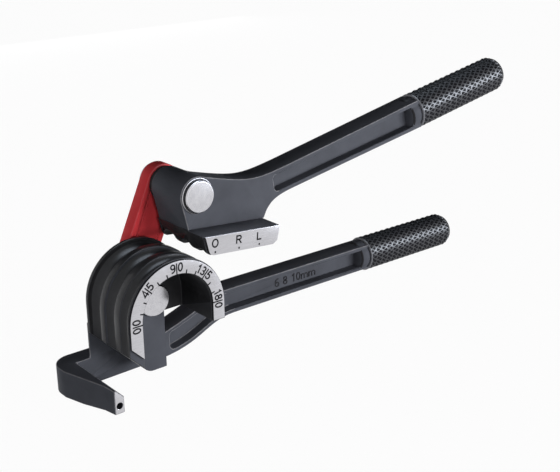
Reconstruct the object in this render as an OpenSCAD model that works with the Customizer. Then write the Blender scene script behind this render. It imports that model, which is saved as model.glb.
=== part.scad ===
// Lever tube bender with three grooves.
// X runs along the lower handle, Y runs back along the pivot pins, Z is up.
// The origin is where the pivot axis meets the plane of the dial.

/* [Tube grooves] */
// Tube for the front groove
tube_small = 6; // [5:0.5:7]
// Tube for the middle groove
tube_mid = 8; // [7:0.5:9]
// Tube for the back groove
tube_large = 10; // [9:0.5:11]
// Groove diameter over the tube's
groove_play = 0.2; // [0.1:0.05:0.4]
// Land in front of the front groove
land_front = 2; // [1.6:0.1:3]
// Land between the front and middle grooves
land_one = 4; // [3:0.1:5]
// Land between the middle and back grooves
land_two = 3.4; // [2.6:0.1:4.4]
// Land behind the back groove
land_back = 1.6; // [1.2:0.1:2.6]

/* [Forming die] */
// Radius of the grooved rim
rim_r = 24; // [22:0.5:27]
// Gap between the lands of die and shoe when the shoe is closed
land_gap = 1.7; // [0.8:0.1:2.5]
// Radius of the pocket in the front of the die
pocket_r = 17.3; // [15:0.1:18]
// Rim length below the pivot on the left
left_leg = 13.6; // [11:0.1:16]
// Rim length below the pivot on the right
right_leg = 8.6; // [7:0.1:10]
// Right side of the post under the pivot
post_right = 5.2; // [4:0.1:7]
// Lowest level of the post
post_drop = 33.5; // [31:0.1:36]
// Rounding of the post's lower left corner
post_round = 6; // [2:0.5:8]
// Depth from the dial to the post
post_depth = 19.8; // [16:0.1:22]
// Depth from the dial to the web beside the post
web_depth = 23.7; // [21:0.1:27]

/* [Scale faces] */
// Thickness of the bare metal faces
face_t = 1; // [0.6:0.1:1.4]
// Painted edge outside the dial
face_inset = 0.4; // [0.2:0.1:0.8]
// Inner radius of the dial
dial_in_r = 17.6; // [17.4:0.1:19]
// Dial length below the pivot on the left
dial_left = 9.7; // [8:0.1:11]

/* [Pivot pins] */
// Radius of both pins
pin_r = 5; // [4:0.1:5.5]
// Radius of the pin heads
head_r = 7.2; // [6.6:0.1:7.6]
// Thickness of the pin heads
head_t = 2; // [1.5:0.1:3]
// Chamfer round the pin heads
head_chamfer = 0.5; // [0.2:0.1:0.9]
// Running clearance between pin and bush
run_clearance = 0.05; // [0.02:0.01:0.1]
// Clearance of parts that are fitted tight
fit_clearance = 0.02; // [0.01:0.01:0.05]
// End play of the link between its washers
end_play = 0.06; // [0.03:0.01:0.15]
// Wall of the link bushes
bush_wall = 1.5; // [1:0.1:2]
// Thickness of the spacer between die and link
spacer_t = 2.2; // [1:0.1:2.5]
// Thickness of the washers behind the link
washer_t = 1.2; // [0.8:0.1:1.6]
// Thickness of the washer under the shoe pin's head
head_washer_t = 0.6; // [0.4:0.1:1]
// Thickness of the retaining rings
clip_t = 1.2; // [0.8:0.1:1.6]
// Depth of the ring groove in the pins
clip_groove = 0.8; // [0.5:0.1:1.2]

/* [Link] */
// Distance between the two pins
link_len = 48.8; // [46:0.1:56]
// Width of the link
link_w = 17; // [16:0.1:18]
// Thickness of the link
link_t = 7; // [5:0.5:8]
// Direction of the link above the lower handle
link_angle = 65.6; // [30:0.1:120]

/* [Lower handle] */
// Thickness of the plate, hook and arm
plate_t = 9.6; // [9:0.1:11]
// Slant of the plate's left side from front to back
plate_slant = 8.4; // [6:0.1:9]
// Gap between the link and the plate's upper edge
plate_gap = 1; // [0.6:0.1:2]
// Level of the arm's axis below the pivot
arm_drop = 20.8; // [19:0.1:22]
// Height of the arm
lower_arm_h = 13; // [11:0.1:13.6]
// How much thicker the arm is than the plate
arm_step = 1.7; // [0.5:0.1:3]
// Place of the lower grip's start along the handle
lower_grip_x = 144.5; // [120:0.5:180]
// Place where the bracket runs into the arm
bracket_x = 54; // [50:0.5:58]
// Height of the lips of the I-beams
lip = 2; // [1.6:0.1:2.8]
// Depth of the I-beams' pockets at the front
pocket_d = 5.2; // [3:0.1:5.4]
// Depth of the I-beams' pockets at the back
back_pocket_d = 2.4; // [1:0.1:3]

/* [Tube hook] */
// Upper level of the hook below the pivot
hook_top = 26.2; // [24:0.1:28]
// Lower level of the hook below the pivot
hook_drop = 38.7; // [37:0.1:42]
// Furthest reach of the hook to the left
hook_reach = 39.2; // [37:0.1:42]
// Width of the hook at its front end
hook_end_w = 4.6; // [3.8:0.1:5]
// Depth of the hook's front end behind the dial
hook_end_y = 1.6; // [0.5:0.1:3]
// Play between hook and tube
hook_play = 0.15; // [0.05:0.05:0.4]
// Slope cut along the hook's upper inner edge
hook_chamfer = 3.6; // [2.5:0.1:3.8]
// Rise of the hook's underside towards its front end
hook_lift = 1.6; // [0.4:0.1:2.4]
// Rounding of the hook's outer corner
hook_round = 9; // [4:0.5:9]
// Diameter of the hole in the hook's end
hook_hole_d = 3; // [2.5:0.1:3.4]
// Depth of the hole in the hook's end
hook_hole_depth = 9; // [6:0.5:14]

/* [Upper handle] */
// Depth from the dial to the handle's front
body_y = 12.5; // [11:0.1:14]
// Thickness of body and arm
body_t = 12.1; // [11:0.1:14]
// Radius of the pin boss
boss_r = 8.4; // [8:0.1:9]
// Left end of the foot from the shoe pin
foot_left = 4; // [3:0.1:5]
// Right end of the foot from the shoe pin
foot_right = 37.2; // [34:0.1:40]
// Arm root to the right of the shoe pin
root_x = 51; // [47:0.5:56]
// Arm root above the shoe pin
root_z = 2.8; // [1:0.1:4]
// Rise of the arm from the shoe's sole
arm_rise = 15.6; // [12:0.1:20]
// Height of the arm at its root
root_h = 11.9; // [10.5:0.1:13]
// Height of the arm at its tip
tip_h = 14.1; // [12:0.1:14.8]
// Length of the arm from its root to the grip
arm_len = 86.5; // [70:0.5:110]
// Opening of the shoe from its closed place, as shown
shoe_open = 19.5; // [5:0.1:40]

/* [Bending shoe] */
// Height of the shoe
shoe_h = 8.4; // [8:0.1:10]
// Length of the shoe along its ledge
shoe_len = 40.8; // [38:0.1:46]
// Painted edge to the left of the shoe's bare face
shoe_inset = 0.8; // [0.3:0.1:1.4]
// Lean of the shoe's left end
shoe_lean = 18.4; // [8:0.1:25]
// Rounding of the sole's left end
sole_round = 3; // [2:0.5:5]
// Cut of the sole's right corner
sole_cut = 2.4; // [1:0.1:3.5]
// Gap between the swinging half and the lower handle's front
side_gap = 0.4; // [0.3:0.05:0.8]

/* [Grips] */
// Radius of the grips
grip_r = 8.9; // [8.6:0.1:10]
// Length of the grips
grip_len = 61; // [50:0.5:90]
// Rounding of the grip ends
grip_dome = 4; // [2:0.5:6]
// Radius of the tangs inside the grips
tang_r = 5.5; // [5:0.1:6]
// Wall at the closed ends of the grips
grip_end_t = 8; // [7:0.5:12]
// Length of the round collars before the grips
collar_len = 7; // [5:0.5:9]
// Radius of the collars
collar_r = 7.6; // [7.2:0.1:7.9]
// Bevel at the collars' free edges
collar_edge = 0.8; // [0.4:0.1:1.2]
// Diameter of the grip pins
grip_pin_d = 3; // [2:0.5:3.5]
// Place of the grip pins from the grip's start
grip_pin_x = 18; // [12:0.5:30]

/* [Screws] */
// Thread diameter of the die screws
die_screw_d = 5; // [4:0.5:5]
// Reach of the die screws into the die
die_screw_in = 9.5; // [7:0.5:10]
// Edge distance of the die screws
screw_edge = 4.2; // [4:0.1:5]
// Diameter of the dowels
dowel_d = 4; // [3:0.5:4]
// Reach of the dowels into die and plate
dowel_in = 6; // [4:0.5:7]
// Thread diameter of the shoe screws
shoe_screw_d = 4; // [3:0.5:4]
// Reach of the shoe screws into the handle
shoe_screw_in = 8; // [6:0.5:10]
// Shoe left above the heads of its screws
shoe_screw_seat = 2; // [1.6:0.1:2.4]

/* [Hidden] */
$fn = 96;
// How far cutting tools run past the faces they cut
past = 1;

// Grooves: depth along Y and radius of each
small_r = (tube_small + groove_play) / 2;
mid_r = (tube_mid + groove_play) / 2;
large_r = (tube_large + groove_play) / 2;
small_y = land_front + small_r;
mid_y = small_y + small_r + land_one + mid_r;
large_y = mid_y + mid_r + land_two + large_r;
grooves = [[small_y, small_r], [mid_y, mid_r], [large_y, large_r]];
die_w = large_y + large_r + land_back;
bend_r = rim_r + land_gap / 2;

// Stack along the pins, from the die backwards
plate_back = die_w + plate_t;
link_y = die_w + spacer_t;
link_back = link_y + link_t;
washer_y = link_back + end_play;
clip_y = washer_y + washer_t + fit_clearance;
pin_end = clip_y + clip_t + fit_clearance + 1.2;
swing_back = die_w - side_gap;
bush_r = pin_r + run_clearance + bush_wall;
washer_r = bush_r + 1.2;
clip_r = pin_r + 1.8;

// Swinging half: its frame has the shoe pin at the origin and the sole level
shoe_drop = link_len - rim_r - land_gap;
foot_z = shoe_drop - shoe_h;
shoe_tilt = 90 - link_angle - shoe_open;
arm_y = body_y + body_t / 2;
arm_back = plate_back + arm_step;
lower_arm_y = (die_w + arm_back) / 2;
foot_y = (die_w + plate_back) / 2;
tang_len = grip_len - grip_end_t;

// Die fasteners on the back plate
plate_top = link_w / 2 + plate_gap;
plate_right = post_right + 3.3;
die_head_r = die_screw_d * 0.85;
fix_left = plate_slant - rim_r + die_head_r + 0.9;
fix_right = post_right - screw_edge;
fix_high = -(plate_top + 2 + screw_edge);
fix_low = -(post_drop - screw_edge);
die_screw_at = [[fix_left, fix_high], [fix_right, fix_high], [fix_right, fix_low]];
die_dowel_at = [[fix_left + 3.5, (fix_high + fix_low) / 2 - 1.6], [fix_right, (fix_high + fix_low) / 2]];
die_head_h = die_screw_d;

// Shoe fasteners, in the frame of the swinging half
shoe_screw_at = [[boss_r / 4, large_y], [foot_right - 10, mid_y]];
shoe_head_r = shoe_screw_d * 0.8;
shoe_head_h = shoe_screw_d / 2;

// Points along a circle from angle a0 to a1
function arc(c, r, a0, a1, n = 10) =
    [for (i = [0:n]) c + r * [cos(a0 + (a1 - a0) * i / n), sin(a0 + (a1 - a0) * i / n)]];

// Points along a cubic curve with end points p and s
function curve(p, q, r, s, n = 14) =
    [for (i = [0:n]) let (t = i / n, k = 1 - t)
        k * k * k * p + 3 * k * k * t * q + 3 * k * t * t * r + t * t * t * s];

// Outline of a pocket, round at x0 and square at x1, with half heights h0 and h1 there
function pocket_points(x0, x1, h0, h1, r) = concat(
    arc([x0 + r, h0 - r], r, 90, 180, 6),
    arc([x0 + r, r - h0], r, 180, 270, 6),
    [[x1, -h1], [x1, h1]]);

// Point of the upper arm's own axes in the frame of the swinging half
function on_arm(u, v) = [
    root_x + u * cos(arm_rise) - v * sin(arm_rise),
    root_z + u * sin(arm_rise) + v * cos(arm_rise)];

// The pieces are drawn round the die's axis, from the dial's front plane backwards, and stand here
// with the origin under the die's axis, in the middle of the plate's flat foot
module on_bench() {
    translate([0, -foot_y, hook_drop])
        children();
}

// Flat shape in X and Z, carried from depth y0 to y1
module slab(y0, y1) {
    translate([0, y1, 0])
        rotate([90, 0, 0])
            linear_extrude(height = y1 - y0)
                children();
}

// Round bar along Y
module rod(y0, y1, r) {
    translate([0, y1, 0])
        rotate([90, 0, 0])
            cylinder(h = y1 - y0, r = r);
}

// Ring along Y
module ring(y0, y1, r_in, r_out) {
    difference() {
        rod(y0, y1, r_out);
        rod(y0 - past, y1 + past, r_in);
    }
}

module at_shoe_pin() {
    translate([link_len * cos(link_angle), 0, link_len * sin(link_angle)])
        children();
}

module at_swinging_half() {
    at_shoe_pin()
        rotate([0, shoe_tilt, 0])
            children();
}

module at_lower_grip() {
    translate([lower_grip_x, lower_arm_y, -arm_drop])
        children();
}

module at_upper_grip() {
    at_swinging_half()
        translate([root_x, arm_y, root_z])
            rotate([0, -arm_rise, 0])
                translate([arm_len, 0, 0])
                    children();
}

// Round collar and tang at the end of an arm, with X along the arm
module tang_end() {
    rotate([0, 90, 0]) {
        translate([0, 0, -collar_len])
            cylinder(h = collar_edge, r1 = collar_r - collar_edge, r2 = collar_r);
        translate([0, 0, collar_edge - collar_len])
            cylinder(h = collar_len - collar_edge, r = collar_r);
        translate([0, 0, -past])
            cylinder(h = tang_len + past, r = tang_r);
    }
}

// Cross hole for the grip pin, from the back to past the middle of the tang
module grip_pin_shape(r, y1) {
    translate([grip_pin_x, 0, 0])
        rod(-tang_r / 2, y1, r);
}

module grip_shape() {
    bore_r = tang_r + fit_clearance;
    bore_len = tang_len + 0.3;
    edge = 0.6;
    difference() {
        rotate([0, 90, 0])
            rotate_extrude()
                polygon(concat(
                    [[bore_r, 0], [grip_r - edge, 0], [grip_r, edge]],
                    arc([grip_r - grip_dome, grip_len - grip_dome], grip_dome, 0, 90, 8),
                    [[0, grip_len], [0, bore_len], [bore_r, bore_len]]));
        grip_pin_shape(grip_pin_d / 2 + fit_clearance, grip_r + past);
    }
}

// Headed pin along Y, seated at depth seat, with a groove for its retaining ring
module headed_pin(seat) {
    translate([0, seat - head_t + head_chamfer, 0])
        rotate([90, 0, 0])
            cylinder(h = head_chamfer, r1 = head_r, r2 = head_r - head_chamfer);
    rod(seat - head_t + head_chamfer, seat, head_r);
    rod(seat - head_chamfer, clip_y - fit_clearance, pin_r);
    rod(clip_y - head_chamfer, pin_end - head_chamfer, pin_r - clip_groove);
    rod(clip_y + clip_t + fit_clearance, pin_end, pin_r);
}

module retaining_ring() {
    slot_w = 3;
    difference() {
        ring(clip_y, clip_y + clip_t, pin_r - clip_groove + fit_clearance, clip_r);
        translate([-slot_w / 2, clip_y - past, -clip_r - past])
            cube([slot_w, clip_t + 2 * past, clip_r + past - pin_r / 2]);
    }
}

// Face of the dial: half ring with two straight legs, slanted at 45 degrees on the left
module rim_shape(out_r, in_r, left, right) {
    difference() {
        union() {
            circle(out_r);
            translate([-out_r, -out_r])
                square([2 * out_r, out_r]);
        }
        circle(in_r);
        translate([-in_r, -2 * out_r])
            square([2 * in_r, 2 * out_r]);
        translate([0, -2 * out_r])
            square([2 * out_r, 2 * out_r - right]);
        polygon([[-2 * out_r, out_r - left], [0, -out_r - left], [0, -3 * out_r], [-2 * out_r, -3 * out_r]]);
    }
}

// Section of the grooved rim: radius across, depth upwards
module rim_section() {
    difference() {
        translate([pocket_r, face_t])
            square([rim_r - pocket_r, die_w - face_t]);
        for (g = grooves)
            translate([bend_r, g[0]])
                circle(g[1]);
    }
}

// Everything below the slant at the die's lower left, with the post's rounded corner
module below_slant() {
    slant = rim_r + left_leg;
    reach = 2 * rim_r;
    corner_x = post_drop - slant + post_round * tan(22.5);
    polygon(concat(
        [[-reach, reach - slant]],
        arc([corner_x, post_round - post_drop], post_round, 225, 270),
        [[reach, -post_drop], [reach, -2 * reach], [-reach, -2 * reach]]));
}

module forming_die() {
    seam = pocket_r + past;
    on_bench() color("#2b2c31")
        difference() {
            union() {
                rotate([90, 0, 0])
                    rotate_extrude(angle = 180)
                        mirror([0, 1])
                            rim_section();
                translate([0, 0, -right_leg])
                    linear_extrude(height = right_leg)
                        rim_section();
                translate([0, 0, -post_drop])
                    linear_extrude(height = post_drop)
                        mirror([1, 0])
                            rim_section();
                slab(web_depth, die_w)
                    difference() {
                        circle(seam);
                        translate([-seam - past, -2 * seam])
                            square([2 * (seam + past), 2 * seam]);
                    }
                translate([-seam, web_depth, -right_leg])
                    cube([2 * seam, die_w - web_depth, right_leg + past]);
                translate([-seam, post_depth, -post_drop - past])
                    cube([seam + post_right, die_w - post_depth, post_drop + past]);
                rod(post_depth, die_w, head_r);
            }
            slab(face_t - past, die_w + past)
                below_slant();
            rod(post_depth - past, die_w + past, pin_r + fit_clearance);
            for (p = die_screw_at)
                translate([p[0], 0, p[1]])
                    rod(die_w - die_screw_in - past, die_w + past, die_screw_d / 2 + fit_clearance);
            for (p = die_dowel_at)
                translate([p[0], 0, p[1]])
                    rod(die_w - dowel_in - 0.2, die_w + past, dowel_d / 2 + fit_clearance);
        }
}

module dial_face() {
    on_bench() color("#c9c8cd")
        slab(0, face_t)
            rim_shape(rim_r - face_inset, dial_in_r, dial_left, right_leg);
}

// Lower edge of the bracket, from the plate to the arm
bracket_low = curve([5, -hook_drop], [bracket_x - 17.5, -hook_drop],
    [bracket_x - 17, -arm_drop - lower_arm_h / 2], [bracket_x + 1, -arm_drop - lower_arm_h / 2]);
// Upper edge of the bracket, from the plate's foot to the arm
bracket_foot = [plate_right + 5, -hook_top];
bracket_high = curve(bracket_foot, [bracket_x - 14, 2.2 - arm_drop],
    [bracket_x - 12, lower_arm_h / 2 - arm_drop], [bracket_x - 4, lower_arm_h / 2 - arm_drop]);

module plate_shape() {
    arm_end = lower_grip_x - collar_len / 7;
    polygon(concat(
        [[-rim_r, -plate_top], [-rim_r, -hook_drop]],
        bracket_low,
        [[arm_end, -arm_drop - lower_arm_h / 2], [arm_end, lower_arm_h / 2 - arm_drop]],
        [for (i = [len(bracket_high) - 1:-1:0]) bracket_high[i]],
        arc(bracket_foot + [0, 5], 5, 270, 180, 6),
        [[plate_right, -plate_top]]));
}

// Pocket of the bracket and the lower arm, inside the lips
module lower_pocket_shape() {
    r = 2.4;
    x0 = plate_right + 9;
    x1 = lower_grip_x - collar_len + 0.2;
    low0 = lookup(x0 + r, bracket_low) + lip;
    high0 = lookup(x0 + r, bracket_high) - lip;
    low1 = lip - arm_drop - lower_arm_h / 2;
    high1 = lower_arm_h / 2 - arm_drop - lip;
    polygon(concat(
        arc([x0 + r, low0 + r], r, 180, 270, 6),
        [for (p = bracket_low) if (p[0] > x0 + r + 1) p + [0, lip]],
        [[x1, low1], [x1, high1]],
        [for (i = [len(bracket_high) - 1:-1:0]) if (bracket_high[i][0] > x0 + r + 1) bracket_high[i] - [0, lip]],
        arc([x0 + r, high0 - r], r, 90, 180, 6)));
}

// Plan of the hook: back to the left of the plate, then forward past the three grooves.
// Its inner side keeps the same play to each tube.
function hook_side(y) = -(bend_r + hook_play + tube_small / 2
    + (tube_large - tube_small) / 2 * (y - small_y) / (large_y - small_y));

module hook_plan() {
    nose_y = hook_end_y + 7.4;
    polygon(concat(
        [[hook_side(hook_end_y) - hook_end_w, hook_end_y], [hook_side(hook_end_y), hook_end_y],
            [hook_side(die_w), die_w], [1 - rim_r, die_w], [1 - rim_r, plate_back]],
        arc([hook_round - hook_reach, plate_back - hook_round], hook_round, 90, 180, 8),
        [[-hook_reach, die_w - 4], [hook_side(nose_y) - hook_end_w, nose_y]]));
}

// Shape in Y and Z, carried along X
module across(x0, x1) {
    translate([x0, 0, 0])
        rotate([90, 0, 90])
            linear_extrude(height = x1 - x0)
                children();
}

module tube_hook() {
    edge_x = hook_side(hook_end_y) - hook_chamfer;
    lift_y = die_w * 0.6;
    difference() {
        translate([0, 0, -hook_drop])
            linear_extrude(height = hook_drop - hook_top)
                hook_plan();
        slab(hook_end_y - past, die_w)
            polygon([[edge_x, -hook_top], [edge_x, past - hook_top], [1 - rim_r, past - hook_top],
                [1 - rim_r, -hook_top + edge_x + rim_r - 1]]);
        across(-hook_reach - past, 1 - rim_r)
            polygon([[hook_end_y - past, -hook_drop - past], [hook_end_y - past, hook_lift - hook_drop],
                [hook_end_y, hook_lift - hook_drop], [lift_y, -hook_drop], [lift_y, -hook_drop - past]]);
        translate([hook_side(hook_end_y) - hook_end_w / 2, 0, (hook_lift - hook_top - hook_chamfer - hook_drop) / 2])
            rod(hook_end_y - past, hook_end_y + hook_hole_depth, hook_hole_d / 2);
    }
}

// Slant behind the plate's left edge, above the hook
module plate_slant_cut() {
    edge = 0.6;
    translate([0, 0, -hook_top])
        linear_extrude(height = hook_top)
            polygon([[-rim_r - past, die_w + edge], [-rim_r, die_w + edge], [plate_slant - rim_r, plate_back],
                [plate_slant - rim_r, plate_back + past], [-rim_r - past, plate_back + past]]);
}

// Plate, bracket and arm in one outline, thinner at the plate and with a pocket on either side
module plate_and_arm() {
    step_x = plate_right + 4;
    difference() {
        slab(die_w, arm_back)
            plate_shape();
        translate([-hook_reach, plate_back, -hook_drop - past])
            cube([hook_reach + step_x, arm_step + past, hook_drop + past]);
        slab(die_w - past, die_w + pocket_d)
            lower_pocket_shape();
        slab(arm_back - back_pocket_d, arm_back + past)
            lower_pocket_shape();
    }
}

module lower_handle() {
    on_bench() color("#2b2c31")
        difference() {
            union() {
                plate_and_arm();
                tube_hook();
                at_lower_grip()
                    tang_end();
            }
            plate_slant_cut();
            for (p = die_screw_at)
                translate([p[0], 0, p[1]]) {
                    rod(die_w - past, plate_back + past, die_screw_d / 2 + fit_clearance);
                    rod(plate_back - die_head_h - 0.3, plate_back + past, die_head_r + 0.2);
                }
            for (p = die_dowel_at)
                translate([p[0], 0, p[1]])
                    rod(die_w - past, die_w + dowel_in + 0.2, dowel_d / 2 + fit_clearance);
            at_lower_grip()
                grip_pin_shape(grip_pin_d / 2 + fit_clearance, grip_r);
        }
}

module die_screws() {
    head_y = plate_back - die_head_h - 0.3;
    socket_r = die_screw_d * 0.46;
    on_bench() color("#4a4b50")
        for (p = die_screw_at)
            translate([p[0], 0, p[1]])
                difference() {
                    union() {
                        rod(die_w - die_screw_in, head_y + past, die_screw_d / 2);
                        rod(head_y, head_y + die_head_h, die_head_r);
                    }
                    translate([0, head_y + die_head_h + past, 0])
                        rotate([90, 0, 0])
                            cylinder(h = die_head_h / 2 + past, r = socket_r, $fn = 6);
                }
}

module die_dowels() {
    on_bench() color("#9c9da2")
        for (p = die_dowel_at)
            translate([p[0], 0, p[1]])
                rod(die_w - dowel_in, die_w + dowel_in, dowel_d / 2);
}

module die_pin() {
    on_bench() color("#c2c1c6")
        headed_pin(post_depth);
}

module die_spacer() {
    on_bench() color("#a8a9ad")
        ring(die_w, link_y - end_play, pin_r + run_clearance, washer_r);
}

module die_back_washer() {
    on_bench() color("#a8a9ad")
        ring(washer_y, washer_y + washer_t, pin_r + run_clearance, washer_r);
}

module die_clip() {
    on_bench() color("#56575c")
        retaining_ring();
}

module lower_grip() {
    on_bench() color("#1f2024")
        at_lower_grip()
            grip_shape();
}

module lower_grip_pin() {
    on_bench() color("#77787d")
        at_lower_grip()
            grip_pin_shape(grip_pin_d / 2, grip_r - 0.6);
}

module link() {
    on_bench() color("#c2253b")
        rotate([0, -link_angle, 0])
            difference() {
                union() {
                    rod(link_y, link_back, link_w / 2);
                    translate([link_len, 0, 0])
                        rod(link_y, link_back, link_w / 2);
                    translate([0, link_y, -link_w / 2])
                        cube([link_len, link_t, link_w]);
                }
                rod(link_y - past, link_back + past, bush_r + fit_clearance);
                translate([link_len, 0, 0])
                    rod(link_y - past, link_back + past, bush_r + fit_clearance);
            }
}

module link_die_bush() {
    on_bench() color("#a9803f")
        ring(link_y, link_back, pin_r + run_clearance, bush_r);
}

module link_shoe_bush() {
    on_bench() color("#a9803f")
        at_shoe_pin()
            ring(link_y, link_back, pin_r + run_clearance, bush_r);
}

// Left edge of the handle's body runs from the foot to just inside the boss's surface
boss_in = boss_r - 0.08;
foot_corner = [-foot_left, -foot_z];
touch_angle = 180 + atan2(foot_z, foot_left) - acos(boss_r / norm(foot_corner));
boss_touch = boss_in * [cos(touch_angle), sin(touch_angle)];
// Upper edge of the body, from the arm down to a dip and up to the top of the boss
leave_angle = 79.5;
boss_leave = boss_in * [cos(leave_angle), sin(leave_angle)];
body_top = curve(on_arm(0, root_h / 2), on_arm(-21, root_h / 2),
    boss_leave + 27 * [sin(leave_angle), -cos(leave_angle)], boss_leave);

module body_shape() {
    polygon(concat(
        [[0, 0], boss_touch, foot_corner],
        curve([foot_right, -foot_z], [foot_right + 2.1, 6.9 - foot_z],
            on_arm(-9.4, -root_h / 2), on_arm(0, -root_h / 2)),
        [on_arm(arm_len - collar_len / 5, -tip_h / 2), on_arm(arm_len - collar_len / 5, tip_h / 2)],
        body_top));
}

module column_shape() {
    polygon([[0, 0], boss_touch, foot_corner, [boss_r, -foot_z], [boss_r, 0]]);
}

module upper_pocket_shape() {
    x0 = -9.5;
    x1 = arm_len - collar_len + 0.2;
    translate([root_x, root_z])
        rotate(arm_rise)
            polygon(pocket_points(x0, x1, root_h / 2 - lip, tip_h / 2 - lip, 2));
}

module upper_handle() {
    on_bench() color("#2b2c31") {
        difference() {
            union() {
                at_swinging_half() {
                    difference() {
                        slab(body_y, body_y + body_t)
                            body_shape();
                        slab(body_y - past, body_y + pocket_d)
                            upper_pocket_shape();
                        slab(body_y + body_t - back_pocket_d, body_y + body_t + past)
                            upper_pocket_shape();
                    }
                    slab(body_y, swing_back)
                        column_shape();
                    rod(body_y, swing_back, boss_r);
                }
                at_upper_grip()
                    tang_end();
            }
            at_swinging_half() {
                rod(body_y - past, swing_back + past, pin_r + fit_clearance);
                for (p = shoe_screw_at)
                    translate([p[0], p[1], -foot_z - past])
                        cylinder(h = shoe_screw_in + 0.3 + past, r = shoe_screw_d / 2 + fit_clearance);
            }
            at_upper_grip()
                grip_pin_shape(grip_pin_d / 2 + fit_clearance, grip_r);
        }
    }
}

// Side outline of the shoe, with its left end set in
module shoe_shape(inset) {
    left = inset - shoe_inset - foot_left + 0.2;
    sole_left = left + shoe_h * tan(shoe_lean);
    right = left - inset + shoe_len;
    polygon(concat(
        [[left, -foot_z]],
        arc([sole_left + sole_round * tan((90 - shoe_lean) / 2), sole_round - shoe_drop], sole_round,
            180 + shoe_lean, 270),
        [[right - 1 - sole_cut, -shoe_drop], [right - 1, sole_cut * 0.7 - shoe_drop], [right, -foot_z]]));
}

module sole_cuts() {
    for (g = grooves)
        translate([-shoe_len, g[0], -shoe_drop - land_gap / 2])
            rotate([0, 90, 0])
                cylinder(h = 3 * shoe_len, r = g[1]);
}

module bending_shoe() {
    on_bench() color("#2b2c31")
        at_swinging_half()
            difference() {
                slab(face_t, swing_back)
                    shoe_shape(0);
                sole_cuts();
                for (p = shoe_screw_at)
                    translate([p[0], p[1], -shoe_drop - past]) {
                        cylinder(h = shoe_h + 2 * past, r = shoe_screw_d / 2 + fit_clearance);
                        cylinder(h = shoe_h + past - shoe_screw_seat, r = shoe_head_r + 0.2);
                    }
            }
}

module shoe_face() {
    on_bench() color("#c9c8cd")
        at_swinging_half()
            slab(0, face_t)
                shoe_shape(shoe_inset);
}

module shoe_screws() {
    on_bench() color("#4a4b50")
        at_swinging_half()
            for (p = shoe_screw_at)
                translate([p[0], p[1], -foot_z - shoe_screw_seat]) {
                    cylinder(h = shoe_screw_seat + shoe_screw_in, r = shoe_screw_d / 2);
                    difference() {
                        translate([0, 0, -shoe_head_h])
                            cylinder(h = shoe_head_h, r = shoe_head_r);
                        translate([0, 0, -shoe_head_h - past])
                            cylinder(h = past + shoe_head_h / 2, r = shoe_screw_d * 0.4, $fn = 6);
                    }
                }
}

module shoe_pin() {
    on_bench() color("#c2c1c6")
        at_shoe_pin()
            headed_pin(body_y - head_washer_t);
}

module shoe_pin_washer() {
    on_bench() color("#d2d1d6")
        at_shoe_pin()
            ring(body_y - head_washer_t, body_y, pin_r + run_clearance, head_r + 0.7);
}

module shoe_spacer() {
    on_bench() color("#a8a9ad")
        at_shoe_pin()
            ring(swing_back, link_y - end_play, pin_r + run_clearance, washer_r);
}

module shoe_back_washer() {
    on_bench() color("#a8a9ad")
        at_shoe_pin()
            ring(washer_y, washer_y + washer_t, pin_r + run_clearance, washer_r);
}

module shoe_clip() {
    on_bench() color("#56575c")
        at_shoe_pin()
            retaining_ring();
}

module upper_grip() {
    on_bench() color("#1f2024")
        at_upper_grip()
            grip_shape();
}

module upper_grip_pin() {
    on_bench() color("#77787d")
        at_upper_grip()
            grip_pin_shape(grip_pin_d / 2, grip_r - 0.6);
}

lower_handle();
forming_die();
dial_face();
die_screws();
die_dowels();
die_pin();
die_spacer();
die_back_washer();
die_clip();
lower_grip();
lower_grip_pin();
link();
link_die_bush();
link_shoe_bush();
upper_handle();
bending_shoe();
shoe_face();
shoe_screws();
shoe_pin();
shoe_pin_washer();
shoe_spacer();
shoe_back_washer();
shoe_clip();
upper_grip();
upper_grip_pin();
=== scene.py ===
import bpy, bmesh, math
import numpy as np
from mathutils import Matrix, Vector


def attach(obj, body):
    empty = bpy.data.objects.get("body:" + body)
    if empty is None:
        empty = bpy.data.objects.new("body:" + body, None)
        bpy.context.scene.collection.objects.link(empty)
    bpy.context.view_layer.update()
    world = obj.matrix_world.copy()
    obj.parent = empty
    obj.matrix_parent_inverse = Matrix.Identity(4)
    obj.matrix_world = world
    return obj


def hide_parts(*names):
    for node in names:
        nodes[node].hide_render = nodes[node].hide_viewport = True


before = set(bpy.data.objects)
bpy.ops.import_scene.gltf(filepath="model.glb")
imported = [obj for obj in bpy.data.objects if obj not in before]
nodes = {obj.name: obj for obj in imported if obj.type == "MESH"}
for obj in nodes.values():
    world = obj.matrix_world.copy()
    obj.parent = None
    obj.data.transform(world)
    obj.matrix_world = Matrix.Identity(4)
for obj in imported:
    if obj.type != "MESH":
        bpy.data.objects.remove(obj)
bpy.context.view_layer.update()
scene = bpy.context.scene

mm = 0.001
dialCentre = np.array((0.0, -40.4, 38.7)) * mm  # die axis where it meets the dial's front
shoePin = np.array((20.159, -40.4, 83.141)) * mm  # shoe pin's axis in the same front plane
shoeTilt = math.radians(4.9)  # the shoe's sole dips to the right
armRise = math.radians(10.7)  # slope of the upper arm

# camera, worked out from the dial's circle in the picture
lensSpec = {
    "place": (-0.2234, -0.3853, 0.2205), "look": (0.5905, 0.7319, -0.3401),
    "right": (0.7755, -0.6313, -0.0122), "lens": 68.6, "sensor": 36.0, "clip": (0.01, 20),
}


def makeCamera(spec):
    look = Vector(spec["look"]).normalized()
    right = Vector(spec["right"])
    right = (right - look * right.dot(look)).normalized()
    turn = Matrix((right, right.cross(look), -look)).transposed().to_4x4()
    turn.translation = Vector(spec["place"])
    data = bpy.data.cameras.new("camera")
    data.lens, data.sensor_width = spec["lens"], spec["sensor"]
    data.clip_start, data.clip_end = spec["clip"]
    cam = bpy.data.objects.new("camera", data)
    cam.matrix_world = turn
    scene.collection.objects.link(cam)
    scene.camera = cam


makeCamera(lensSpec)
print("camera done")


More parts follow.
